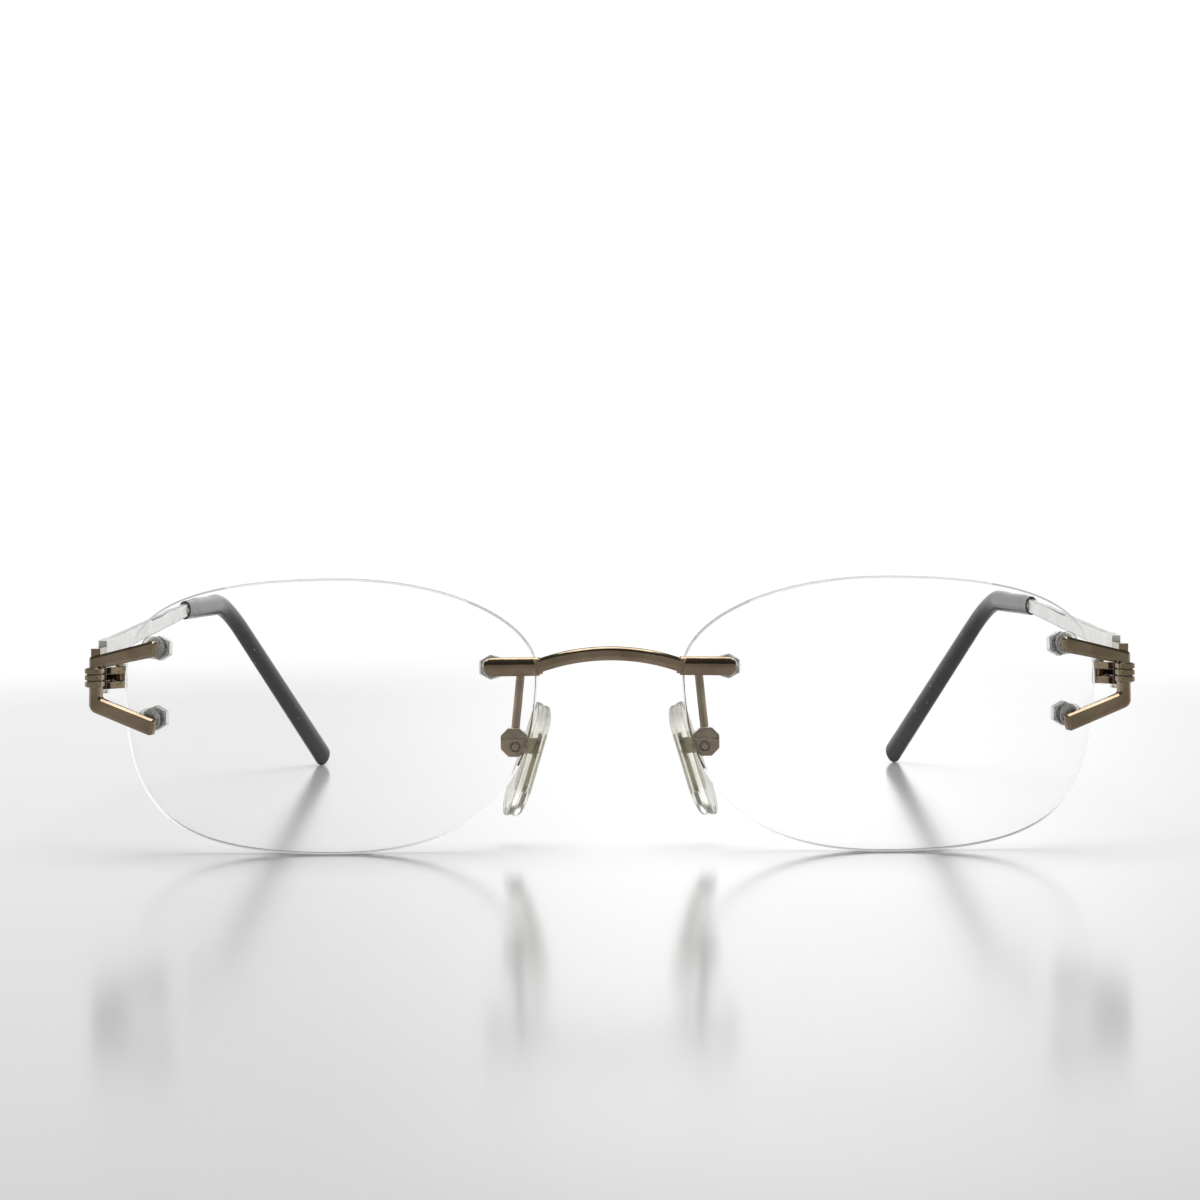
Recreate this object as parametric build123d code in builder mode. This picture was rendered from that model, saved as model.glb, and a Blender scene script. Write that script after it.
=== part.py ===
from build123d import *
import os
from math import cos, radians, sin, sqrt

# Rimless eyeglasses with two drilled lenses held by hex nuts. Millimetres, +Z up.
# The glasses stand on the two lenses and the two temple tips, with the temples open.
# The front looks along -Y, the temples run to +Y, and the wearer's left is +X.
# The origin is on the surface they stand on, under the middle of the whole object.
# Every piece beside the nose is modelled on the left, and the right one is its mirror image.

# ---- Driving dimensions: lenses ----
lens_width = 52.8
lens_height = 35.2
lens_gap = 18.6
lens_thickness = 2.0
lens_front_radius = 110.0
lens_edge_chamfer = 0.25
lens_blank_depth = 12.0
overall_depth = 126.6

front_y = -overall_depth / 2
lens_x = (lens_gap + lens_width) / 2
lens_z = lens_height / 2
lens_back_radius = lens_front_radius - lens_thickness
sphere_y = front_y + lens_front_radius

# ---- Studs, nuts, washers and bushes ----
stud_radius = 0.6
stud_past_nut = 0.4
stud_root = 0.35
loose_fit = 0.02
through_length = 12.0
lens_hole_radius = 0.85
bush_radius = 1.45
front_washer_thickness = 0.35
front_washer_squeeze = 0.1
rear_flange_thickness = 0.5
flange_gap = 0.005
sleeve_end_gap = 0.1
metal_washer_radius = 1.35
metal_washer_thickness = 0.3
nut_across_flats = 2.8
nut_thickness = 1.1
nut_corner_trim = 0.05

# A flat flange on the hollow back of the lens touches it at the flange's rim.
flange_rest = bush_radius**2 / (2 * lens_back_radius) + flange_gap
rear_bush_z = -lens_thickness - flange_rest - rear_flange_thickness
metal_washer_z = rear_bush_z - metal_washer_thickness
nut_z = metal_washer_z - nut_thickness
stud_end_z = nut_z - stud_past_nut

# ---- Bridge ----
bridge_hole_x = 14.8
bridge_hole_z = 23.8
strap_inner_x = 9.1
strap_past_stud = 1.6
strap_height = 2.4
strap_thickness = 1.2
strap_crown_radius = 1.7
strap_round = 0.25
arch_rise = 1.7
arch_bow = 1.5
arch_height = 1.8
arch_thickness = 1.3
arch_round = 0.6
arch_overlap = 0.3
pinch_radius = 0.7
pinch_height = 1.9

# ---- Endpiece ----
upper_hole_x = 58.3
upper_hole_z = 26.5
lower_hole_x = 58.8
lower_hole_z = 17.35
prong_thickness = 1.3
prong_bevel = 0.3
spine_inner = 6.4
spine_outer = 7.9
lug_inner_x = 65.2
lug_thickness = 1.2
lug_front_y = front_y + 3.5
lug_depth = 4.9
lug_corner_round = 0.4
lug_bottom_z = 20.65
lug_top_z = 26.35
collar_bottom_z = 21.45
collar_top_z = 23.95
rib_count = 3
groove_height = 0.22
collar_core_width = 1.8
collar_rib_width = 2.15
collar_corner_round = 0.5
collar_outward = 0.12

# ---- Hinge ----
hinge_x = 63.2
hinge_y = front_y + 8.0
knuckle_radius = 0.95
knuckle_gap = 0.03
hinge_bottom_z = 21.05
hinge_height = 2.8
hinge_screw_radius = 0.5
screw_head_radius = 0.85
screw_head_height = 0.4
screw_edge_round = 0.12
slot_width = 0.24
slot_depth = 0.2
running_clearance = 0.03
front_leaf_thickness = 0.5
front_leaf_start = 3.1
front_leaf_length = 2.6
temple_leaf_thickness = 0.6
temple_leaf_start = 1.4
temple_leaf_length = 4.4

# ---- Temple and tip ----
plate_inner_x = 65.2
plate_thickness = 1.1
plate_bottom_z = 20.3
plate_top_z = 27.15
plate_front_y = hinge_y + 0.45
plate_foot_length = 1.5
plate_head_length = 4.6
plate_head_rise = 0.15
bar_thickness = 1.1
bar_height = 2.6
bar_end_height = 2.0
bar_round = 0.3
bar_start = Vector(65.75, front_y + 12.0, 25.95)
tip_start = Vector(63.4, front_y + 66.0, 28.8)
tip_bend = Vector(61.8, front_y + 98.0, 28.7)
tip_end = Vector(48.6, front_y + 125.4, 1.22)
tip_bend_radius = 16.0
core_radius = 0.7
core_end_inset = 6.0
tip_start_thick = 1.9
tip_start_wide = 2.8
tip_end_thick = 2.7
tip_end_wide = 4.2
tip_end_round = 0.7

# ---- Nose parts ----
pad_screw_x = 12.35
pad_screw_y = front_y + 7.4
pad_screw_z = 13.3
pad_screw_radius = 0.5
pad_head_radius = 0.8
pad_head_height = 0.4
screw_proud = 0.12
screw_mouth_radius = 0.68
screw_mouth_depth = 0.15
box_width = 3.4
box_height = 3.7
box_corner = 1.0
box_corner_round = 0.35
box_edge_round = 0.15
box_plate = 0.6
box_web = 0.8
box_outward = 0.2
box_rise = 0.55
fold_line_rise = 1.0
fold_line_width = 0.14
fold_line_depth = 0.12
tab_thickness = 0.8
arm_radius = 0.55
arm_start_x = 8.4
arm_turn_x = 11.5
arm_bend_radius = 1.3
arm_rise = 0.2
pad_lean = 17.3
pad_splay = 10.0
pad_length = 15.4
pad_depth = 7.6
pad_upper_radius = 3.2
pad_thickness = 2.5
pad_crown_radius = 40.0
pad_round = 0.8
pad_distance = 1.95
insert_length = 8.0
insert_depth = 3.6
insert_thickness = 0.5
insert_round = 1.4
insert_forward = 1.2
tab_inward = 1.15
tab_length = 3.7
tab_height = 2.0
pad_center_y = front_y + 9.6
pad_center_z = 11.2

os.makedirs("parts", exist_ok=True)


def write(piece, name):
    """Label a finished piece and write it as its own file."""
    piece.label = name
    export_step(piece, f"parts/{name}.step")


def write_pair(left, name):
    """Write the wearer's left piece, and its mirror image as the right one."""
    with BuildPart() as right:
        mirror(left.part, about=Plane.YZ)
    write(left.part, f"left_{name}")
    write(right.part, f"right_{name}")


def lens_seat(x, z):
    """The plane that touches the left lens's front surface at (x, z) and faces forward."""
    rise = sqrt(lens_front_radius**2 - (x - lens_x) ** 2 - (z - lens_z) ** 2)
    normal = Vector(x - lens_x, -rise, z - lens_z)
    outward = Vector(0, 0, 1).cross(normal)
    return Plane(origin=(x, sphere_y - rise, z), x_dir=outward, z_dir=normal)


bridge_seat = lens_seat(bridge_hole_x, bridge_hole_z)
upper_seat = lens_seat(upper_hole_x, upper_hole_z)
lower_seat = lens_seat(lower_hole_x, lower_hole_z)
endpiece_seats = (upper_seat, lower_seat)


from_corner = (Align.MIN, Align.MIN, Align.MIN)
from_base = (Align.CENTER, Align.CENTER, Align.MIN)


def disc(plane, radius, thickness):
    """A disc that stands on the plane, added to the part being built."""
    with BuildSketch(plane) as face:
        Circle(radius)
    extrude(face.sketch, amount=thickness)


# ---------------------------------------------------------------- lens
def lens_outline():
    """The lens's edge line as four curves, in a plane whose +X points away from the nose."""
    half_width = lens_width / 2
    top = Vector(-0.7, lens_height / 2)
    nose = Vector(-half_width, 5.7)
    bottom = Vector(-0.6, -lens_height / 2)
    temple = Vector(half_width, 3.9)
    # Each quarter has the fullness of its flat end and of its upright end.
    quarters = (
        (top, nose, 0.59, 0.51),
        (bottom, nose, 0.69, 0.66),
        (bottom, temple, 0.81, 0.74),
        (top, temple, 0.9, 0.53),
    )
    for flat, upright, along, up in quarters:
        flat_handle = Vector(flat.X + along * (upright.X - flat.X), flat.Y)
        upright_handle = Vector(upright.X, upright.Y + up * (flat.Y - upright.Y))
        Bezier(flat, flat_handle, upright_handle, upright)


with BuildPart() as lens:
    front_plane = Plane(origin=(lens_x, front_y, lens_z), x_dir=(1, 0, 0), z_dir=(0, -1, 0))
    with BuildSketch(front_plane):
        with BuildLine():
            lens_outline()
        make_face()
    extrude(amount=-lens_blank_depth)
    with Locations((lens_x, sphere_y, lens_z)):
        Sphere(lens_front_radius, mode=Mode.INTERSECT)
        Sphere(lens_back_radius, mode=Mode.SUBTRACT)
    rims = lens.faces().filter_by(GeomType.SPHERE).edges()
    chamfer(rims, lens_edge_chamfer)
    for seat in (bridge_seat, upper_seat, lower_seat):
        with Locations(seat):
            Cylinder(lens_hole_radius, through_length, mode=Mode.SUBTRACT)
write_pair(lens, "lens")


# ---------------------------------------------------------------- bridge
def stud(seat):
    """A stud from behind the strap or prong, through the lens, to just past its nut."""
    disc(seat.offset(stud_end_z), stud_radius, front_washer_thickness + stud_root - stud_end_z)


strap_plane = bridge_seat.offset(front_washer_thickness)
strap_nose_end = (strap_inner_x - bridge_hole_x) / bridge_seat.x_dir.X
strap_length = strap_past_stud - strap_nose_end
strap_end = strap_plane.from_local_coords((strap_nose_end + arch_overlap, 0, strap_thickness / 2))

with BuildPart() as strap:
    with BuildSketch(strap_plane):
        with Locations((strap_nose_end, 0)):
            Rectangle(strap_length - strap_height / 2, strap_height, align=(Align.MIN, Align.CENTER))
        with Locations((strap_past_stud - strap_height / 2, 0)):
            Circle(strap_height / 2)
    extrude(amount=strap_thickness)
    with Locations(strap_plane.offset(strap_thickness - strap_crown_radius)):
        Cylinder(strap_crown_radius, 4 * strap_length, rotation=(0, 90, 0), mode=Mode.INTERSECT)
    front_edges = strap.faces().sort_by(Axis(strap_plane.origin, strap_plane.z_dir))[-1].edges()
    fillet(front_edges, strap_round)
    stud(bridge_seat)

with BuildPart() as bridge:
    add(strap.part)
    mirror(strap.part, about=Plane.YZ)
    middle = (0, strap_end.Y - arch_bow, strap_end.Z + arch_rise)
    with BuildLine() as arch_line:
        ThreePointArc((-strap_end.X, strap_end.Y, strap_end.Z), middle, strap_end)
    with BuildSketch(Plane(origin=arch_line.line @ 0, x_dir=(0, 0, 1), z_dir=arch_line.line % 0)):
        RectangleRounded(arch_height, arch_thickness, arch_round)
    sweep(path=arch_line.line)
    with Locations(strap_end, (-strap_end.X, strap_end.Y, strap_end.Z)):
        Cylinder(pinch_radius, pinch_height)
write(bridge.part, "bridge")

# ---------------------------------------------------------------- endpiece
# The prongs lie in the plane that touches the lens halfway between the two holes.
prong_seat = lens_seat((upper_hole_x + lower_hole_x) / 2, (upper_hole_z + lower_hole_z) / 2)
prong_plane = prong_seat.offset(front_washer_thickness)
# Corners of the bracket from the top of the spine, each with its rounding radius.
prong_corners = (
    (spine_outer, 3.3, 0.4),
    (-1.4, 5.6, 0.5),
    (-0.8, 3.4, 0.4),
    (spine_inner, 1.95, 0.5),
    (spine_inner, -1.9, 0.5),
    (-1.1, -4.65, 0.5),
    (-0.5, -6.7, 0.4),
    (spine_outer, -3.5, 1.2),
)

with BuildPart() as endpiece:
    with BuildSketch(prong_plane):
        with BuildLine():
            corners = [(along, up) for along, up, _ in prong_corners]
            FilletPolyline(*corners, radius=[radius for _, _, radius in prong_corners], close=True)
        make_face()
    extrude(amount=prong_thickness)
    front_face = endpiece.faces().sort_by(Axis(prong_plane.origin, prong_plane.z_dir))[-1]
    chamfer(front_face.edges(), prong_bevel)
    with Locations((lug_inner_x, lug_front_y, lug_bottom_z)):
        Box(lug_thickness, lug_depth, lug_top_z - lug_bottom_z, align=from_corner)
    rear_corners = endpiece.edges().filter_by(Axis.X).group_by(Axis.Y)[-1]
    fillet(rear_corners, lug_corner_round)
    for seat in endpiece_seats:
        stud(seat)
write_pair(endpiece, "endpiece")

# The collar is a sleeve with three ribs, fitted round the spine.
spine_middle = (spine_inner + spine_outer) / 2
collar_center = prong_plane.from_local_coords(
    (spine_middle + collar_outward, 0, prong_thickness / 2)
)
rib_pitch = (collar_top_z - collar_bottom_z) / rib_count


def collar_ring(bottom, height, size):
    """One level of the collar: a rounded block, wider for a rib than for a groove."""
    origin = (collar_center.X, collar_center.Y, bottom)
    with BuildSketch(Plane(origin=origin, x_dir=prong_plane.x_dir, z_dir=(0, 0, 1))) as ring:
        RectangleRounded(size, size, collar_corner_round)
    extrude(ring.sketch, amount=height)


with BuildPart() as collar:
    collar_ring(collar_bottom_z, collar_top_z - collar_bottom_z, collar_core_width)
    for rib in range(rib_count):
        rib_bottom = collar_bottom_z + rib * rib_pitch + groove_height / 2
        collar_ring(rib_bottom, rib_pitch - groove_height, collar_rib_width)
    add(endpiece.part, mode=Mode.SUBTRACT)
write_pair(collar, "endpiece_collar")


# ---------------------------------------------------------------- nuts, washers and bushes
def front_washer(seat):
    """A clear washer between the lens and the strap or prong, which presses into it."""
    disc(seat, bush_radius, front_washer_thickness + front_washer_squeeze)
    with Locations(seat):
        Cylinder(stud_radius + loose_fit, through_length, mode=Mode.SUBTRACT)


def rear_bush(seat):
    """A clear flange behind the lens, with a sleeve that lines the lens's hole."""
    disc(seat.offset(rear_bush_z), bush_radius, rear_flange_thickness)
    disc(seat.offset(rear_bush_z), lens_hole_radius - loose_fit, -rear_bush_z - sleeve_end_gap)
    with Locations(seat):
        Cylinder(stud_radius + loose_fit, through_length, mode=Mode.SUBTRACT)


def metal_washer(seat):
    """A flat washer between the bush and the nut."""
    disc(seat.offset(metal_washer_z), metal_washer_radius, metal_washer_thickness)
    with Locations(seat):
        Cylinder(stud_radius + loose_fit, through_length, mode=Mode.SUBTRACT)


def hex_nut(seat):
    """A hexagon nut on the end of the stud, with its rear corners rounded off."""
    with BuildSketch(seat.offset(nut_z)) as hexagon:
        RegularPolygon(nut_across_flats / 2, 6, major_radius=False, rotation=30)
    extrude(hexagon.sketch, amount=nut_thickness)
    corner_radius = nut_across_flats / sqrt(3)
    with Locations(seat.offset(nut_z + nut_thickness / 2)):
        Cylinder(corner_radius - nut_corner_trim, nut_thickness, mode=Mode.INTERSECT)
    with Locations(seat):
        Cylinder(stud_radius + loose_fit / 2, through_length, mode=Mode.SUBTRACT)


hardware = {
    "front_washer": front_washer,
    "rear_bush": rear_bush,
    "metal_washer": metal_washer,
    "hex_nut": hex_nut,
}
plurals = {"front_washer": "front_washers", "rear_bush": "rear_bushes"}
for kind, make in hardware.items():
    with BuildPart() as bridge_piece:
        make(bridge_seat)
        if kind == "front_washer":
            add(bridge.part, mode=Mode.SUBTRACT)
    write_pair(bridge_piece, f"bridge_{kind}")
    pieces = []
    for seat in endpiece_seats:
        with BuildPart() as endpiece_hardware:
            make(seat)
            if kind == "front_washer":
                add(endpiece.part, mode=Mode.SUBTRACT)
        pieces.append(endpiece_hardware.part)
    with BuildPart() as pair:
        add(pieces)
    write_pair(pair, f"endpiece_{plurals.get(kind, kind + 's')}")

# ---------------------------------------------------------------- hinge
knuckle_height = (hinge_height - 2 * knuckle_gap) / 3
lower_z = hinge_bottom_z
middle_z = lower_z + knuckle_height + knuckle_gap
upper_z = middle_z + knuckle_height + knuckle_gap
hinge_top_z = hinge_bottom_z + hinge_height


def leaf_level(bottom, height, pad_corner, pad_size):
    """A knuckle and the web that joins it to its leaf's pad, at one height."""
    with BuildSketch(Plane.XY.offset(bottom)) as level:
        with Locations((hinge_x, hinge_y)):
            Circle(knuckle_radius)
        with Locations(pad_corner):
            Rectangle(*pad_size, align=(Align.MIN, Align.MIN))
        make_hull()
    extrude(level.sketch, amount=height)


def pin_hole(clearance, bottom, height):
    """The hole for the hinge screw."""
    with Locations((hinge_x, hinge_y, bottom)):
        Cylinder(hinge_screw_radius + clearance, height, align=from_base, mode=Mode.SUBTRACT)


front_pad = (lug_inner_x - front_leaf_thickness, hinge_y - front_leaf_start)
front_pad_size = (front_leaf_thickness, front_leaf_length)
with BuildPart() as front_leaf:
    leaf_level(lower_z, knuckle_height, front_pad, front_pad_size)
    leaf_level(upper_z, knuckle_height, front_pad, front_pad_size)
    with Locations((*front_pad, hinge_bottom_z)):
        Box(*front_pad_size, hinge_height, align=from_corner)
    pin_hole(loose_fit, hinge_bottom_z, hinge_height)
write_pair(front_leaf, "hinge_front_leaf")

temple_pad = (plate_inner_x - temple_leaf_thickness, hinge_y + temple_leaf_start)
temple_pad_size = (temple_leaf_thickness, temple_leaf_length)
with BuildPart() as temple_leaf:
    leaf_level(middle_z, knuckle_height, temple_pad, temple_pad_size)
    with Locations((*temple_pad, hinge_bottom_z)):
        Box(*temple_pad_size, hinge_height, align=from_corner)
    pin_hole(running_clearance, middle_z, knuckle_height)
write_pair(temple_leaf, "hinge_temple_leaf")

with BuildPart() as hinge_screw:
    with Locations((hinge_x, hinge_y, hinge_bottom_z)):
        Cylinder(hinge_screw_radius, hinge_height, align=from_base)
    with Locations((hinge_x, hinge_y, hinge_top_z)):
        Cylinder(screw_head_radius, screw_head_height, align=from_base)
    fillet(hinge_screw.edges().sort_by(Axis.Z)[-1], screw_edge_round)
    with Locations((hinge_x, hinge_y, hinge_top_z + screw_head_height)):
        Box(2 * screw_head_radius, slot_width, 2 * slot_depth, mode=Mode.SUBTRACT)
write_pair(hinge_screw, "hinge_screw")


# ---------------------------------------------------------------- temple
def tip_path(end):
    """The line through the tip: nearly level, then one bend down and inward to its end."""
    return FilletPolyline(tip_start, tip_bend, end, radius=tip_bend_radius)


end_direction = (tip_end - tip_bend).normalized()
core_end = tip_end - end_direction * core_end_inset
tip_start_plane = Plane(origin=tip_start, x_dir=(1, 0, 0), z_dir=tip_bend - tip_start)
bar_start_plane = Plane(origin=bar_start, x_dir=(1, 0, 0), z_dir=tip_start - bar_start)
foot_y = plate_front_y + plate_foot_length
head_y = plate_front_y + plate_head_length
head_z = plate_top_z + plate_head_rise

with BuildPart() as temple:
    with BuildSketch(Plane(origin=(plate_inner_x, 0, 0), x_dir=(0, 1, 0), z_dir=(1, 0, 0))) as plate:
        with BuildLine():
            foot = Line((foot_y, plate_bottom_z), (plate_front_y, plate_bottom_z))
            front = Line(foot @ 1, (plate_front_y, plate_top_z))
            top = Line(front @ 1, (head_y, head_z))
            back = Line(top @ 1, (head_y, head_z - bar_height))
            TangentArc(back @ 1, foot @ 0, tangent=(-1, -0.05))
        make_face()
    extrude(amount=plate_thickness)
    with BuildSketch(bar_start_plane):
        RectangleRounded(bar_thickness, bar_height, bar_round)
    with BuildSketch(tip_start_plane):
        RectangleRounded(bar_thickness, bar_end_height, bar_round)
    loft()
    with BuildLine() as core_line:
        tip_path(core_end)
    with BuildSketch(tip_start_plane):
        Circle(core_radius)
    sweep(path=core_line.line)
write_pair(temple, "temple")

# The tip's oval section grows from where the bar enters it to its rounded end.
with BuildPart() as tip:
    with BuildLine() as tip_line:
        tip_path(tip_end)
    tip_wire = tip_line.wire()
    for along, thick, wide in ((0, tip_start_thick, tip_start_wide), (1, tip_end_thick, tip_end_wide)):
        section_plane = Plane(origin=tip_wire @ along, x_dir=(1, 0, 0), z_dir=tip_wire % along)
        with BuildSketch(section_plane):
            Ellipse(thick / 2, wide / 2)
    sweep(path=tip_wire, multisection=True)
    fillet(tip.edges().sort_by(Axis.Y)[-1], tip_end_round)
    with BuildLine() as bore_line:
        tip_path(core_end)
    with BuildSketch(tip_start_plane):
        Circle(core_radius + loose_fit)
    sweep(path=bore_line.line, mode=Mode.SUBTRACT)
write_pair(tip, "temple_tip")

# ---------------------------------------------------------------- nose parts
lean = radians(pad_lean)
splay = radians(pad_splay)
pad_up = Vector(-sin(lean), 0, cos(lean))
pad_face = Vector(-cos(lean) * cos(splay), sin(splay), -sin(lean) * cos(splay))
pivot = Vector(pad_screw_x, pad_screw_y, pad_screw_z)
screw_line = Plane(origin=pivot, z_dir=(0, 1, 0))
foot_point = pivot + pad_face * pad_distance
down_slope = (pad_center_z - foot_point.Z) / pad_up.Z
back_slope = pad_center_y - foot_point.Y
across = pad_face.cross(pad_up)
pad_center = foot_point + pad_up * down_slope + across * (back_slope / across.Y)
pad_plane = Plane(origin=pad_center, x_dir=across, z_dir=pad_face)

with BuildPart() as pad_blank:
    with BuildSketch(pad_plane):
        with Locations((0, (pad_depth - pad_length) / 2)):
            Circle(pad_depth / 2)
        with Locations((0, pad_length / 2 - pad_upper_radius)):
            Circle(pad_upper_radius)
        make_hull()
    extrude(amount=pad_thickness)
    with Locations(pad_plane.offset(pad_thickness - pad_crown_radius)):
        Cylinder(pad_crown_radius, 4 * pad_depth, rotation=(0, 90, 0), mode=Mode.INTERSECT)
    crown = pad_blank.faces().sort_by(Axis(pad_plane.origin, pad_plane.z_dir))[-1]
    fillet(crown.edges(), pad_round)

# The insert is a plate inside the pad with a tab that stands out into the pad box.
insert_plate = pad_plane.offset(insert_thickness)
with BuildPart() as insert:
    with BuildSketch(insert_plate):
        with Locations((-insert_forward, 0)):
            RectangleRounded(insert_depth, insert_length, insert_round)
    extrude(amount=insert_thickness)
    with Locations((pad_screw_x - tab_inward, pad_screw_y, pad_screw_z)):
        Box(tab_length, tab_thickness - 2 * running_clearance, tab_height)
    with Locations(screw_line):
        Cylinder(pad_screw_radius + running_clearance, through_length, mode=Mode.SUBTRACT)
write_pair(insert, "pad_insert")

with BuildPart() as nose_pad:
    add(pad_blank.part)
    add(insert.part, mode=Mode.SUBTRACT)
write_pair(nose_pad, "nose_pad")

box_depth = tab_thickness + 2 * box_plate
box_center = pivot + Vector(box_outward, 0, box_rise)
box_front_plane = Plane(
    origin=box_center + Vector(0, box_depth / 2, 0), x_dir=(1, 0, 0), z_dir=(0, -1, 0)
)
box_top_z = box_center.Z + box_height / 2
with BuildPart() as pad_box:
    with BuildSketch(box_front_plane) as octagon:
        Rectangle(box_width, box_height)
        chamfer(octagon.vertices(), box_corner)
        fillet(octagon.vertices(), box_corner_round)
    extrude(amount=box_depth)
    fillet(pad_box.faces().sort_by(Axis.Y)[0].edges(), box_edge_round)
    with Locations(box_center - Vector(box_web, 0, box_web)):
        Box(box_width, tab_thickness, box_height, mode=Mode.SUBTRACT)
    with Locations(screw_line):
        Cylinder(pad_screw_radius + loose_fit / 2, through_length, mode=Mode.SUBTRACT)
    with Locations(screw_line.offset(-box_depth / 2)):
        Cylinder(screw_mouth_radius, screw_mouth_depth, align=from_base, mode=Mode.SUBTRACT)
    with Locations((box_center.X, box_center.Y - box_depth / 2, pad_screw_z + fold_line_rise)):
        Box(box_width, 2 * fold_line_depth, fold_line_width, mode=Mode.SUBTRACT)
write_pair(pad_box, "pad_box")

with BuildPart() as pad_screw:
    with Locations(screw_line):
        Cylinder(pad_screw_radius, box_depth + 2 * screw_proud)
    fillet(pad_screw.edges().sort_by(Axis.Y)[0], screw_edge_round)
    with Locations(screw_line.offset(box_depth / 2)):
        Cylinder(pad_head_radius, pad_head_height, align=from_base)
    with Locations(screw_line.offset(box_depth / 2 + pad_head_height)):
        Box(slot_width, 2 * pad_head_radius, 2 * slot_depth, mode=Mode.SUBTRACT)
write_pair(pad_screw, "pad_screw")

# The arm leaves the back of the bridge, passes the lens's edge and turns down to the box.
arm_level = bridge_hole_z + arm_rise
with BuildPart() as pad_arm:
    with BuildLine() as arm_line:
        FilletPolyline(
            (arm_start_x, strap_end.Y, arm_level),
            (arm_start_x, pad_screw_y, arm_level),
            (arm_turn_x, pad_screw_y, arm_level),
            (pad_screw_x, pad_screw_y, box_top_z),
            radius=arm_bend_radius,
        )
    with BuildSketch(Plane(origin=arm_line.line @ 0, z_dir=arm_line.line % 0)):
        Circle(arm_radius)
    sweep(path=arm_line.line)
    add(bridge.part, mode=Mode.SUBTRACT)
    add(pad_box.part, mode=Mode.SUBTRACT)
write_pair(pad_arm, "pad_arm")
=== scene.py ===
# %% [markdown]
# # Rimless eyeglasses
# This lesson dresses a finished mechanical model: two clear lenses drilled for small screws,
# a plated bridge and endpieces, straight temples with black tips, and soft nose pads. The
# metal and the lenses come from the CAD model and keep their shapes. The nose pads are
# modelled here, and every surface gets a finish made of nodes.

# %% Load the frame
import math
import bpy
from mathutils import Matrix, Vector


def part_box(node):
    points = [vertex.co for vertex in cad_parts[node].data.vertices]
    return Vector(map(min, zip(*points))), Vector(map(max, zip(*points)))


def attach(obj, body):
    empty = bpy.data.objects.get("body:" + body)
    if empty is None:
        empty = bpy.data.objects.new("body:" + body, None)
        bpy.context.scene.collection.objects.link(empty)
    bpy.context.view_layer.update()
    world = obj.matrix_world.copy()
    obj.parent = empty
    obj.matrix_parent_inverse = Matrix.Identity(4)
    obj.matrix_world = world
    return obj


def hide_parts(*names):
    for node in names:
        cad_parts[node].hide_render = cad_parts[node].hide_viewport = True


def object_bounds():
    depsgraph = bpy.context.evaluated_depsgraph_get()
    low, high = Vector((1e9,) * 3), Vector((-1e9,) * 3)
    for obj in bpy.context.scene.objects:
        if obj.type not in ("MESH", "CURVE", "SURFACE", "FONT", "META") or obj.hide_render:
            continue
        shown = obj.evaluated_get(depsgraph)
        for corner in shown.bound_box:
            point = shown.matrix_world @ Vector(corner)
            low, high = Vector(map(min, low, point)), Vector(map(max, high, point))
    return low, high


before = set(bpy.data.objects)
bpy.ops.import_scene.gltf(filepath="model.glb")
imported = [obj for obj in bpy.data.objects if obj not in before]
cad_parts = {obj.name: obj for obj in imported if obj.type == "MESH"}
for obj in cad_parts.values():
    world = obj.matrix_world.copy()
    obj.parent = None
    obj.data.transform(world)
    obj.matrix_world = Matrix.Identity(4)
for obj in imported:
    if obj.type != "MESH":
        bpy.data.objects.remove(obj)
cad_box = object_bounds()
MM = 0.001

# %% [markdown]
# ## Two helpers
# Colours are written as the hex values a paint chart gives. Blender mixes light, so it needs
# them turned from screen values to linear ones. The second helper adds one node to a
# material: its settings, and for each input a constant or the output that feeds it.

# %% Colour and node helpers
def linear(hex_colour):
    """The linear RGBA of an sRGB hex colour."""
    screen = [int(hex_colour[i : i + 2], 16) / 255 for i in (1, 3, 5)]
    return (*(c / 12.92 if c <= 0.04045 else ((c + 0.055) / 1.055) ** 2.4 for c in screen), 1)


def add_node(tree, kind, settings=None, inputs=None):
    """One node with its settings; an input is a constant or another node's output."""
    made = tree.nodes.new("ShaderNode" + kind)
    for name, value in (settings or {}).items():
        setattr(made, name, value)
    for name, value in (inputs or {}).items():
        if isinstance(value, bpy.types.NodeSocket):
            tree.links.new(value, made.inputs[name])
        else:
            made.inputs[name].default_value = value
    return made


def new_finish(name):
    """An empty material, its node tree and its object coordinates in metres."""
    finish = bpy.data.materials.new(name)
    finish.use_nodes = True
    finish.node_tree.nodes.clear()
    place = add_node(finish.node_tree, "TexCoord").outputs["Object"]
    return finish, finish.node_tree, place


def per_mm(size):
    """The texture scale whose pattern repeats about every size millimetres."""
    return 1 / (size * MM)


def close_finish(finish, shader):
    """Send a finish's shader to the material's output."""
    add_node(finish.node_tree, "OutputMaterial", inputs={"Surface": shader.outputs[0]})
    print("finish:", finish.name)


# %% [markdown]
# ## Plated metal
# Plating copies what is under it. The gloss waves slightly where the polishing wheel pressed,
# fine wheel marks run along the parts, and edges that rub are paler. Grooves get painted shade,
# darkest where little light reaches. It could be painted by hand, but one recipe of a few short
# helpers holds all of it, and each metal gives the recipe its own colours. Real wheel marks
# are finer than a render can show, so they are drawn as coarse as they need to be to show.

# %% Colour clouds
CLOUD_SIZE = 3.0


def colour_clouds(tree, place, deep, mid):
    """A colour that drifts between two shades."""
    clouds = add_node(
        tree,
        "TexNoise",
        inputs={"Vector": place, "Scale": per_mm(CLOUD_SIZE), "Detail": 3},
    )
    tone = add_node(
        tree,
        "MapRange",
        inputs={"Value": clouds.outputs["Fac"], "From Min": 0.35, "From Max": 0.65},
    )
    body = add_node(
        tree, "Mix", {"data_type": "RGBA"}, {0: tone.outputs["Result"], 6: deep, 7: mid}
    )
    return body.outputs[2]


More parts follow.
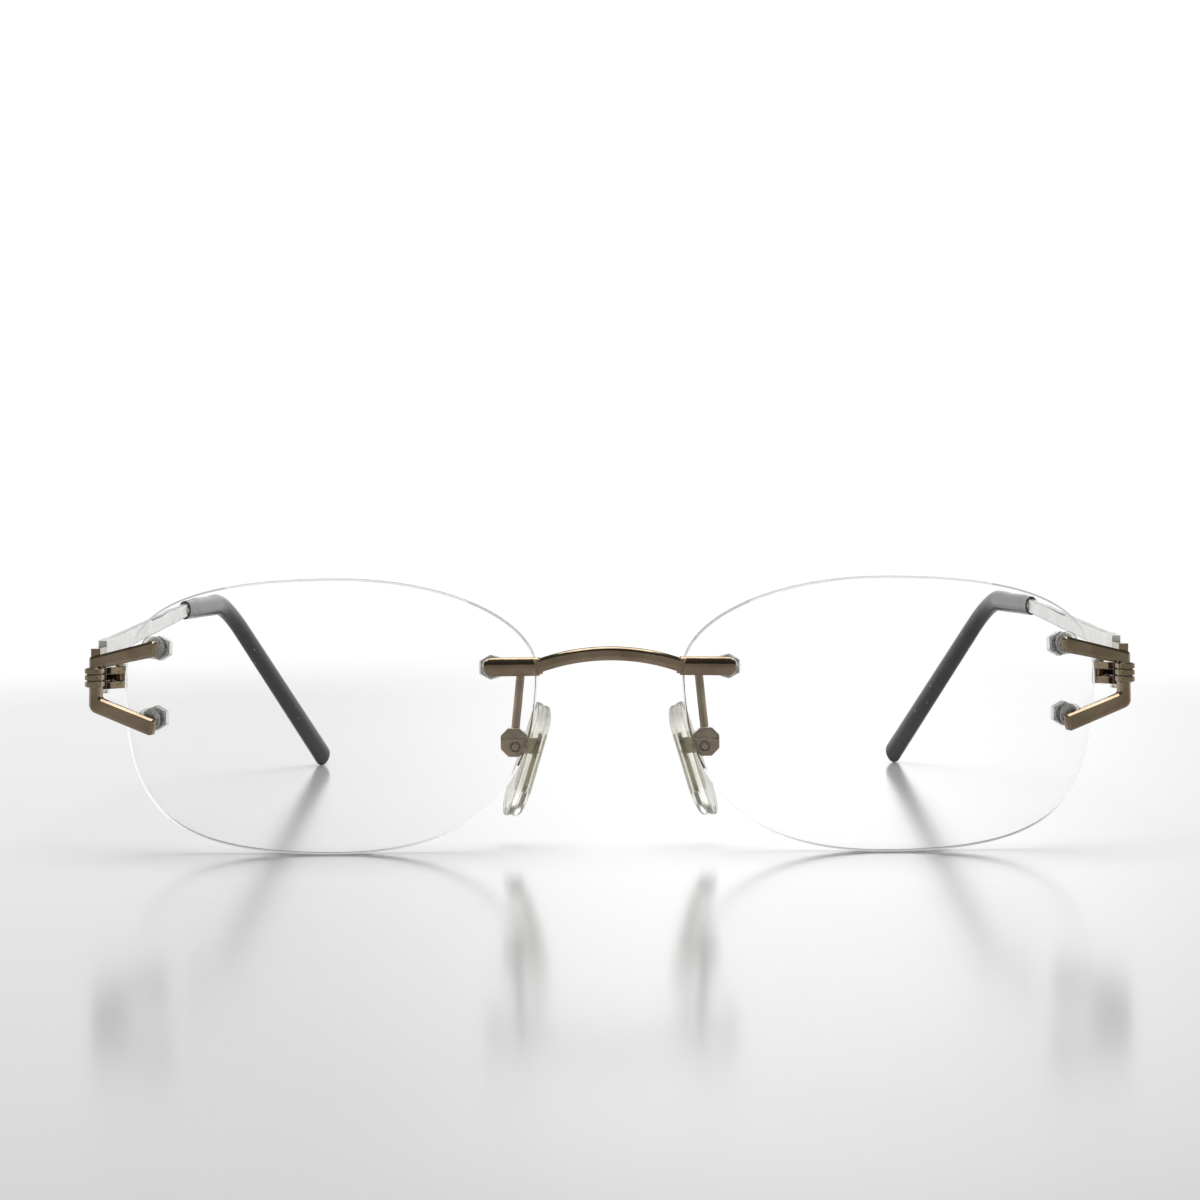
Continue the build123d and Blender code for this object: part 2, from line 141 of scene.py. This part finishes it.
print("colour clouds:", CLOUD_SIZE, "mm")

# %% Worn edges
WEAR_RADIUS = 0.12


def worn_edges(tree):
    """The rounded normal, and how worn the metal is at each spot."""
    # The rounded normal differs from the true one only near an edge: that is where it wears.
    rounded = add_node(tree, "Bevel", {"samples": 6}, {"Radius": WEAR_RADIUS * MM})
    flat = add_node(tree, "NewGeometry")
    same = add_node(
        tree,
        "VectorMath",
        {"operation": "DOT_PRODUCT"},
        {0: rounded.outputs["Normal"], 1: flat.outputs["Normal"]},
    )
    edge = add_node(
        tree,
        "MapRange",
        inputs={
            "Value": same.outputs["Value"],
            "From Min": 0.99,
            "From Max": 0.8,
            "To Max": 0.7,
        },
    )
    return rounded.outputs["Normal"], edge.outputs["Result"]


print("edges wear within", WEAR_RADIUS, "mm")

# %% Painted shade in grooves
GROOVE_REACH = 0.35


def painted_groove_shade(tree):
    """How much painted shade a spot gets: most in a groove, which little light reaches."""
    open_sky = add_node(
        tree, "AmbientOcclusion", {"samples": 8}, {"Distance": GROOVE_REACH * MM}
    )
    painted_shade = add_node(
        tree,
        "MapRange",
        inputs={"Value": open_sky.outputs["AO"], "From Min": 0.75, "From Max": 0.35},
    )
    return painted_shade.outputs["Result"]


print("grooves darken within", GROOVE_REACH, "mm")

# %% Wheel marks
MARK_SIZE = 0.25


def wheel_marks(tree, place, stretch):
    """Fine marks, drawn out along the axis whose stretch is below 1."""
    along = add_node(tree, "Mapping", inputs={"Vector": place, "Scale": stretch})
    marks = add_node(
        tree,
        "TexNoise",
        inputs={"Vector": along.outputs["Vector"], "Scale": per_mm(MARK_SIZE), "Detail": 4},
    )
    return marks.outputs["Fac"]


print("wheel marks:", MARK_SIZE, "mm wide")

# %% Polished surface
MARK_DEPTH = 0.002
WAVE_SIZE = 1.6


def polished_normal(tree, place, rounded, marks, wave_depth):
    """The rounded normal with the wheel's waves and marks on it."""
    waves = add_node(
        tree, "TexNoise", inputs={"Vector": place, "Scale": per_mm(WAVE_SIZE), "Detail": 1}
    )
    wavy = add_node(
        tree,
        "Bump",
        inputs={
            "Height": waves.outputs["Fac"],
            "Distance": wave_depth * MM,
            "Strength": 0.6,
            "Normal": rounded,
        },
    )
    scratched = add_node(
        tree,
        "Bump",
        inputs={
            "Height": marks,
            "Distance": MARK_DEPTH * MM,
            "Strength": 0.5,
            "Normal": wavy.outputs["Normal"],
        },
    )
    return scratched.outputs["Normal"]


print("polish waves:", WAVE_SIZE, "mm")

# %% Plated metal recipe
def plated_metal(name, colours, roughness, mark_stretch, wave_depth):
    """A polished metal; its colours are the painted groove shade and the deep, middle and worn
    shades.
    """
    finish, tree, place = new_finish(name)
    # The first colour is painted shade, laid into grooves where little light reaches.
    painted_shade_colour, deep, mid, worn = (linear(c) for c in colours)
    body = colour_clouds(tree, place, deep, mid)
    rounded, edge = worn_edges(tree)
    colour = add_node(tree, "Mix", {"data_type": "RGBA"}, {0: edge, 6: body, 7: worn})
    painted_shade = painted_groove_shade(tree)
    # Painted shade: the ambient occlusion mask mixes the painted shade colour over the metal.
    with_painted_shade = add_node(
        tree, "Mix", {"data_type": "RGBA"}, {0: painted_shade, 6: colour.outputs[2], 7: painted_shade_colour}
    )
    marks = wheel_marks(tree, place, mark_stretch)
    sheen = add_node(
        tree,
        "MapRange",
        inputs={"Value": marks, "To Min": roughness * 0.6, "To Max": roughness * 1.5},
    )
    skin = polished_normal(tree, place, rounded, marks, wave_depth)
    shader = add_node(
        tree,
        "BsdfPrincipled",
        inputs={
            "Base Color": with_painted_shade.outputs[2],
            "Metallic": 1.0,
            "Roughness": sheen.outputs["Result"],
            "Normal": skin,
        },
    )
    close_finish(finish, shader)
    return finish


# %% [markdown]
# ## Pewter plating
# The bridge, endpieces, pad arms, pad boxes and hinges are nickel silver, stamped or cast,
# tumbled, electroplated with a warm grey-brown pewter and polished. They are glossy, with the
# wheel's marks drawn out five times across the front and the deepest waves of the metals.

# %% Pewter plating
pewter = plated_metal(
    "pewter electroplating on nickel silver",
    # Painted groove shade, then the deep, middle and worn colours.
    ("#2E241A", "#84745F", "#988771", "#BEB09B"),
    roughness=0.1,
    mark_stretch=(0.2, 1, 1),
    wave_depth=0.05,
)

# %% [markdown]
# ## Nickel plating
# The temple bars are drawn strip, plated with pale nickel and brushed from end to end. The
# marks are drawn out about eight times along the bar, and they scatter the light to a satin.

# %% Nickel plating
nickel = plated_metal(
    "pale nickel plating, brushed",
    # Painted groove shade, then the deep, middle and worn colours.
    ("#A5A39E", "#DCDBD8", "#E8E7E4", "#F5F5F3"),
    roughness=0.3,
    mark_stretch=(1, 0.12, 1),
    wave_depth=0.01,
)

# %% [markdown]
# ## Bare strip
# The insert moulded into each pad is stamped from bare nickel silver strip. Nobody polishes
# what the pad hides, so it is dull and slightly green-brown, with marks in no direction.

# %% Bare nickel silver
khaki = plated_metal(
    "nickel silver strip, dull",
    # Painted groove shade, then the deep, middle and worn colours.
    ("#8E8970", "#BDB89C", "#CBC6AD", "#D8D4C0"),
    roughness=0.3,
    mark_stretch=(1, 1, 1),
    wave_depth=0.02,
)

# %% [markdown]
# ## Turned steel
# The nuts, metal washers and hinge screws are turned from stainless steel bar and tumbled.
# They are the palest metal here, and satin, because tumbling leaves no mirror.

# %% Turned steel
steel = plated_metal(
    "turned stainless steel",
    # Painted groove shade, then the deep, middle and worn colours.
    ("#CFCDC9", "#EFEDEA", "#F5F3F0", "#FBFAF8"),
    roughness=0.34,
    mark_stretch=(1, 1, 1),
    wave_depth=0.01,
)

# %% [markdown]
# ## Clear lens
# A demonstration lens is cast or moulded from clear optical plastic and polished, so light
# passes straight through it. Only its ground rim shows, as a thin grey line, because the rim
# is satin and looks through the whole width of the lens. The rim's faces are found by their
# direction: they look away from the lens's axis, and the two polished faces look along it.

# %% Clear plastic recipe
FLOW_SIZE = 1.2


def clear_plastic(name, colour, ior, roughness, clearness):
    """A see-through plastic with faint mould flow in its gloss."""
    finish, tree, place = new_finish(name)
    flow = add_node(
        tree, "TexNoise", inputs={"Vector": place, "Scale": per_mm(FLOW_SIZE), "Detail": 2}
    )
    gloss = add_node(
        tree,
        "MapRange",
        inputs={
            "Value": flow.outputs["Fac"],
            "To Min": roughness * 0.5,
            "To Max": roughness * 1.5,
        },
    )
    shader = add_node(
        tree,
        "BsdfPrincipled",
        inputs={
            "Base Color": linear(colour),
            "IOR": ior,
            "Roughness": gloss.outputs["Result"],
            "Transmission Weight": clearness,
        },
    )
    close_finish(finish, shader)
    return finish


print("mould flow:", FLOW_SIZE, "mm")

# %% Clear lens and its ground rim
lens_clear = clear_plastic("clear cast lens plastic", "#FFFFFF", 1.5, 0.004, 1.0)
lens_rim = clear_plastic("ground lens rim", "#7D8386", 1.5, 0.35, 0.38)

# %% [markdown]
# ## Clear bushes
# The bushes and front washers are moulded nylon. It is slightly hazy and a little satin, so
# it lets less light through than the lens, and the washers show as small milky discs.

# %% Clear nylon
bush_clear = clear_plastic("clear moulded nylon", "#FFFEFA", 1.53, 0.14, 0.82)

# %% [markdown]
# ## Soft nose pad finish
# The pads are moulded from soft clear silicone. New silicone is nearly water clear; with age
# it turns slightly yellow and milky, and its skin gets a satin haze from handling.

# %% Soft silicone
HAZE_SIZE = 0.9


def soft_silicone():
    """Clear soft silicone, faintly yellowed, with a hazy skin."""
    finish, tree, place = new_finish("clear soft silicone")
    haze = add_node(
        tree, "TexNoise", inputs={"Vector": place, "Scale": per_mm(HAZE_SIZE), "Detail": 4}
    )
    tint = add_node(
        tree,
        "Mix",
        {"data_type": "RGBA"},
        {0: haze.outputs["Fac"], 6: linear("#FDFCF5"), 7: linear("#F8F6E9")},
    )
    gloss = add_node(
        tree, "MapRange", inputs={"Value": haze.outputs["Fac"], "To Min": 0.12, "To Max": 0.3}
    )
    skin = add_node(
        tree,
        "Bump",
        inputs={"Height": haze.outputs["Fac"], "Distance": 0.02 * MM, "Strength": 0.4},
    )
    shader = add_node(
        tree,
        "BsdfPrincipled",
        inputs={
            "Base Color": tint.outputs[2],
            "IOR": 1.41,
            "Roughness": gloss.outputs["Result"],
            "Transmission Weight": 0.98,
            "Normal": skin.outputs["Normal"],
        },
    )
    close_finish(finish, shader)
    return finish


pad_silicone = soft_silicone()

# %% [markdown]
# ## Black temple tip
# The tips are moulded acetate, polished by tumbling. Black gloss shows everything: a faint
# orange peel from the mould, and specks of dust. Real dust is finer than a render can show,
# so its specks are few and drawn about a fifth of a millimetre across.

# %% Black acetate
SHADE_SIZE = 4
DUST_SPACING = 1.3
PEEL_SIZE = 0.7


def black_acetate():
    """Gloss black acetate with orange peel, dust specks and a little colour variation."""
    finish, tree, place = new_finish("tumbled black acetate")
    depth = add_node(
        tree, "TexNoise", inputs={"Vector": place, "Scale": per_mm(SHADE_SIZE), "Detail": 2}
    )
    black = add_node(
        tree,
        "Mix",
        {"data_type": "RGBA"},
        {0: depth.outputs["Fac"], 6: linear("#070708"), 7: linear("#0E0E0F")},
    )
    specks = add_node(
        tree, "TexVoronoi", {"feature": "F1"}, {"Vector": place, "Scale": per_mm(DUST_SPACING)}
    )
    dust = add_node(
        tree,
        "MapRange",
        inputs={"Value": specks.outputs["Distance"], "From Min": 0.1, "From Max": 0.06},
    )
    colour = add_node(
        tree,
        "Mix",
        {"data_type": "RGBA"},
        {0: dust.outputs["Result"], 6: black.outputs[2], 7: linear("#C4C4C6")},
    )
    gloss = add_node(
        tree, "MapRange", inputs={"Value": depth.outputs["Fac"], "To Min": 0.1, "To Max": 0.28}
    )
    peel = add_node(
        tree, "TexNoise", inputs={"Vector": place, "Scale": per_mm(PEEL_SIZE), "Detail": 2}
    )
    skin = add_node(
        tree,
        "Bump",
        inputs={"Height": peel.outputs["Fac"], "Distance": 0.01 * MM, "Strength": 0.4},
    )
    shader = add_node(
        tree,
        "BsdfPrincipled",
        inputs={
            "Base Color": colour.outputs[2],
            "IOR": 1.48,
            "Specular IOR Level": 0.25,
            "Roughness": gloss.outputs["Result"],
            "Normal": skin.outputs["Normal"],
        },
    )
    close_finish(finish, shader)
    return finish


tip_black = black_acetate()

# %% [markdown]
# ## Dress the CAD nodes
# Every node gets the finish that a word in its name calls for. The first match counts, so
# the temple tips come before the temples. Each lens also gets the rim finish, which only the
# faces that look away from the lens's axis wear.

# %% Dress the nodes
RIM_LEAN = 0.5
FINISH_WORDS = (
    (("lens",), lens_clear),
    (("bush", "front_washer"), bush_clear),
    (("nut", "metal_washer", "hinge_screw"), steel),
    (("temple_tip",), tip_black),
    (("bridge", "endpiece", "hinge", "pad_arm", "pad_box", "pad_screw"), pewter),
    (("insert",), khaki),
    (("nose_pad",), pad_silicone),
    (("temple",), nickel),
)
for name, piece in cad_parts.items():
    finish = next(f for words, f in FINISH_WORDS if any(w in name for w in words))
    piece.data.materials.clear()
    piece.data.materials.append(finish)
    if name.endswith("_lens"):
        piece.data.materials.append(lens_rim)
        rim_faces = 0
        for face in piece.data.polygons:
            on_rim = abs(face.normal.y) < RIM_LEAN
            face.material_index = int(on_rim)
            rim_faces += on_rim
        print(name, "rim faces:", rim_faces)
print("dressed nodes:", len(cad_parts))

# %% [markdown]
# ## Nose pads
# A real pad is a soft oval cushion with a crowned nose side, moulded round a metal insert,
# with a thin flange where the two halves of the mould met. It could be sculpted, but its
# outline is simple: a disc whose upper half is drawn out and made a little narrower. The
# disc is extruded for the flange, stepped in for the cushion, and then inset and raised ring
# by ring for the crown. Its back is dished where the insert goes in.

# %% Pad measures
# Rings and walls are in millimetres: a ring is its inset and its rise towards the nose.
PAD_LEAN = math.radians(17.3)
PAD_SPLAY = math.radians(10)
PAD_LENGTH = 15.4 * MM
PAD_DEPTH = 7.6 * MM
PAD_UPPER_RADIUS = 3.2 * MM
PAD_THICKNESS = 2.5 * MM
FLANGE_WALLS = (0.2, 0.5)
STEP_IN = 0.2
CUSHION_WALLS = (0.1, 0.75)
CROWN_RINGS = ((0.2, 0.22), (0.35, 0.2), (0.6, 0.2), (0.7, 0.15), (0.6, 0.08))
DISH_RINGS = ((0.25, 0), (0.45, 0), (0.35, 0.22))
OUTLINE_POINTS = 64
PICK_GAP = 0.01 * MM
MERGE_GAP = 0.001 * MM
ROUNDING_LEVELS = 2
lower_y = (PAD_DEPTH - PAD_LENGTH) / 2
upper_y = PAD_LENGTH / 2 - PAD_UPPER_RADIUS
print("pad, mm:", PAD_LENGTH / MM, "by", PAD_DEPTH / MM, "by", PAD_THICKNESS / MM)


def pad_place():
    """The matrix from pad space (x across, y up, z to the nose) to the wearer's left pad."""
    up = Vector((-math.sin(PAD_LEAN), 0, math.cos(PAD_LEAN)))
    level = math.cos(PAD_SPLAY)
    face = Vector((-up.z * level, math.sin(PAD_SPLAY), up.x * level))
    across = face.cross(up).normalized()
    low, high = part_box("left_nose_pad")
    turn = Matrix((-across, face.cross(-across), face)).transposed().to_4x4()
    return Matrix.Translation((low + high) / 2) @ turn


# %% Draw the pad's oval outline
def draw_oval():
    """A filled disc, its upper half moved up and narrowed, at the pad's lens side."""
    bpy.ops.object.select_all(action="DESELECT")
    bpy.ops.mesh.primitive_circle_add(
        vertices=OUTLINE_POINTS,
        radius=PAD_DEPTH / 2,
        fill_type="NGON",
        location=(0, lower_y, -PAD_THICKNESS / 2),
    )
    bpy.ops.object.transform_apply(location=True)
    pad = bpy.context.object
    for corner in pad.data.vertices:
        corner.select = corner.co.y > lower_y + PICK_GAP
    for part in (*pad.data.edges, *pad.data.polygons):
        part.select = False
    bpy.ops.object.mode_set(mode="EDIT")
    bpy.ops.mesh.select_mode(type="VERT")
    bpy.ops.transform.translate(value=(0, upper_y - lower_y, 0))
    narrow = PAD_UPPER_RADIUS / (PAD_DEPTH / 2)
    bpy.ops.transform.resize(value=(narrow, narrow, 1), center_override=(0, upper_y, 0))
    return pad


# %% Build up the flange, the cushion and its crown
def raise_face(height):
    """Extrude the selected face towards the nose by a height in millimetres."""
    bpy.ops.mesh.extrude_region_move(TRANSFORM_OT_translate={"value": (0, 0, height * MM)})


def inset_rings(rings):
    """Inset the selected face ring by ring, moving it towards the nose after each."""
    for inset, rise in rings:
        bpy.ops.mesh.inset(thickness=inset * MM)
        bpy.ops.transform.translate(value=(0, 0, rise * MM))


def model_pad():
    """One crowned oval pad with a flange and a dished back, in pad space."""
    pad = draw_oval()
    bpy.ops.mesh.select_mode(type="FACE")
    bpy.ops.mesh.select_all(action="SELECT")
    for wall in FLANGE_WALLS:
        raise_face(wall)
    inset_rings(((STEP_IN, 0),))
    for wall in CUSHION_WALLS:
        raise_face(wall)
    inset_rings(CROWN_RINGS)
    bpy.ops.object.mode_set(mode="OBJECT")
    lowest = min(face.center.z for face in pad.data.polygons)
    for item in (*pad.data.vertices, *pad.data.edges):
        item.select = False
    for face in pad.data.polygons:
        face.select = face.center.z < lowest + PICK_GAP
    bpy.ops.object.mode_set(mode="EDIT")
    inset_rings(DISH_RINGS)
    bpy.ops.mesh.select_all(action="SELECT")
    bpy.ops.mesh.remove_doubles(threshold=MERGE_GAP)
    bpy.ops.mesh.normals_make_consistent(inside=False)
    bpy.ops.object.mode_set(mode="OBJECT")
    return pad


pad_left = model_pad()
rounding = pad_left.modifiers.new("soft edges", "SUBSURF")
rounding.levels = rounding.render_levels = ROUNDING_LEVELS
bpy.ops.object.modifier_apply(modifier=rounding.name)
bpy.ops.object.shade_smooth()
print("pad height in pad space:", max(v.co.z for v in pad_left.data.vertices) / MM)

# %% Place the pad and its mirror image
pad_left.data.transform(pad_place())
pad_right = pad_left.copy()
pad_right.data = pad_left.data.copy()
bpy.context.collection.objects.link(pad_right)
pad_right.data.transform(Matrix.Diagonal((-1, 1, 1, 1)))
pad_right.data.flip_normals()
for side, pad in (("left", pad_left), ("right", pad_right)):
    pad.name = pad.data.name = f"{side}_soft_pad"
    pad.data.materials.append(pad_silicone)
    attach(pad, f"{side}_pad")
    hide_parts(f"{side}_nose_pad")

# %% [markdown]
# ## Studio
# The glasses stand on a pale table in a white room, under one large softbox. Gloss shows what
# is round it, so the room isn't evenly white: it is dim in front of the glasses and white
# behind them. The far end of the table takes the same levels, so no edge shows between them.

# %% Room levels
# Brightness by direction, from -1 in front of the glasses to 1 behind them.
ROOM = {"From Min": -0.95, "From Max": -0.3, "To Min": 0.42, "To Max": 1.05}
print("room levels:", ROOM)

# %% [markdown]
# ## Table
# The table is lacquered board, glossy enough for a soft reflection. A studio hangs a curved
# sheet behind its table to hide the back edge. Here the board fades into the room's light
# instead, between two distances from the glasses.

# %% Table
TABLE_SIZE = 6
FADE_FROM = 0.22
FADE_TO = 0.42
BOARD_GRAIN = 25
bpy.ops.object.select_all(action="DESELECT")
bpy.ops.mesh.primitive_plane_add(size=TABLE_SIZE)
table = bpy.context.object
table.name = "pale table"
board, tree, place = new_finish("white lacquered board")
grain = add_node(
    tree, "TexNoise", inputs={"Vector": place, "Scale": per_mm(BOARD_GRAIN), "Detail": 3}
)
satin = add_node(
    tree, "MapRange", inputs={"Value": grain.outputs["Fac"], "To Min": 0.14, "To Max": 0.15}
)
lacquer = add_node(
    tree,
    "BsdfPrincipled",
    inputs={"Base Color": linear("#CECECF"), "IOR": 1.42, "Roughness": satin.outputs["Result"]},
)
away = add_node(tree, "VectorMath", {"operation": "LENGTH"}, {0: place})
fade = add_node(
    tree,
    "MapRange",
    {"interpolation_type": "SMOOTHSTEP"},
    {"Value": away.outputs["Value"], "From Min": FADE_FROM, "From Max": FADE_TO},
)
outward = add_node(tree, "VectorMath", {"operation": "NORMALIZE"}, {0: place})
compass = add_node(tree, "SeparateXYZ", inputs={"Vector": outward.outputs["Vector"]})
behind = add_node(
    tree,
    "MapRange",
    {"interpolation_type": "SMOOTHSTEP"},
    {"Value": compass.outputs["Y"], **ROOM},
)
glow = add_node(
    tree, "Emission", inputs={"Color": (1, 1, 1, 1), "Strength": behind.outputs["Result"]}
)
shader = add_node(
    tree,
    "MixShader",
    inputs={0: fade.outputs["Result"], 1: lacquer.outputs[0], 2: glow.outputs[0]},
)
close_finish(board, shader)
table.data.materials.append(board)

# %% [markdown]
# ## Room light
# The world lights the room. Its brightness is the room level, dimmed towards the ceiling so
# that the metal has dark tones to reflect, plus a soft bright patch low down behind the
# glasses, as from a lit backdrop.

# %% World
CEILING = {"From Min": 0.24, "From Max": 0.42, "To Min": 1.0, "To Max": 0.14}
PATCH_TOWARD = Vector((0.065, 0.985, 0.145)).normalized()
PATCH = {"From Min": 0.2, "From Max": 0.02, "To Max": 0.52}
world = bpy.data.worlds.new("white studio")
bpy.context.scene.world = world
world.use_nodes = True
sky = world.node_tree
sky.nodes.clear()
aim = add_node(sky, "TexCoord").outputs["Generated"]
axes = add_node(sky, "SeparateXYZ", inputs={"Vector": aim})
room = add_node(
    sky,
    "MapRange",
    {"interpolation_type": "SMOOTHSTEP"},
    {"Value": axes.outputs["Y"], **ROOM},
)
ceiling = add_node(
    sky,
    "MapRange",
    {"interpolation_type": "SMOOTHSTEP"},
    {"Value": axes.outputs["Z"], **CEILING},
)
level = add_node(
    sky,
    "Math",
    {"operation": "MULTIPLY"},
    {0: room.outputs["Result"], 1: ceiling.outputs["Result"]},
)
toward = add_node(
    sky,
    "VectorMath",
    {"operation": "DISTANCE"},
    {0: aim, 1: PATCH_TOWARD},
)
patch = add_node(
    sky,
    "MapRange",
    {"interpolation_type": "SMOOTHSTEP"},
    {"Value": toward.outputs["Value"], **PATCH},
)
bright = add_node(
    sky, "Math", {"operation": "ADD"}, {0: level.outputs["Value"], 1: patch.outputs["Result"]}
)
background = add_node(
    sky, "Background", inputs={"Color": (1, 1, 1, 1), "Strength": bright.outputs["Value"]}
)
add_node(sky, "OutputWorld", inputs={"Surface": background.outputs[0]})
print("world:", world.name, "ceiling:", CEILING)

# %% [markdown]
# ## Softbox
# One square light hangs over the table. It is nearly a metre wide, so shadows are soft.

# %% Lights
SOFTBOX_SPOT = (0, 0.1, 1.0)
SOFTBOX_SIZE = 0.9
SOFTBOX_POWER = 10


def softbox(name, spot, target, size, power):
    """A square area light at a spot, aimed at a target."""
    light = bpy.data.lights.new(name, "AREA")
    light.size = size
    light.energy = power
    holder = bpy.data.objects.new(name, light)
    holder.location = spot
    holder.rotation_euler = (Vector(target) - Vector(spot)).to_track_quat("-Z", "Y").to_euler()
    bpy.context.collection.objects.link(holder)
    print("light:", name, "at", spot, "size", size, "power", power)


softbox("overhead softbox", SOFTBOX_SPOT, (0, 0, 0), SOFTBOX_SIZE, SOFTBOX_POWER)

# %% [markdown]
# ## Camera
# The glasses are seen from the front and a little above, from a forearm's length away, with a
# short telephoto lens. Places are in metres, angles in degrees and the lens in millimetres.

# %% Camera
CAMERA_SIDE = -0.0012
CAMERA_AWAY = 0.360
CAMERA_HEIGHT = 0.0452
CAMERA_DIP = 2.04
CAMERA_ROLL = -0.3
FOCAL_LENGTH = 85.3
SENSOR_WIDTH = 36
optics = bpy.data.cameras.new("camera")
optics.lens = FOCAL_LENGTH
optics.sensor_width = SENSOR_WIDTH
camera = bpy.data.objects.new("camera", optics)
camera.location = (CAMERA_SIDE, cad_box[0].y - CAMERA_AWAY, CAMERA_HEIGHT)
look = Matrix.Rotation(math.radians(90 - CAMERA_DIP), 4, "X") @ Matrix.Rotation(
    math.radians(CAMERA_ROLL), 4, "Z"
)
camera.rotation_euler = look.to_euler()
bpy.context.collection.objects.link(camera)
bpy.context.scene.camera = camera
bpy.context.scene.view_settings.view_transform = "Standard"
print("camera at:", tuple(round(c, 4) for c in camera.location))
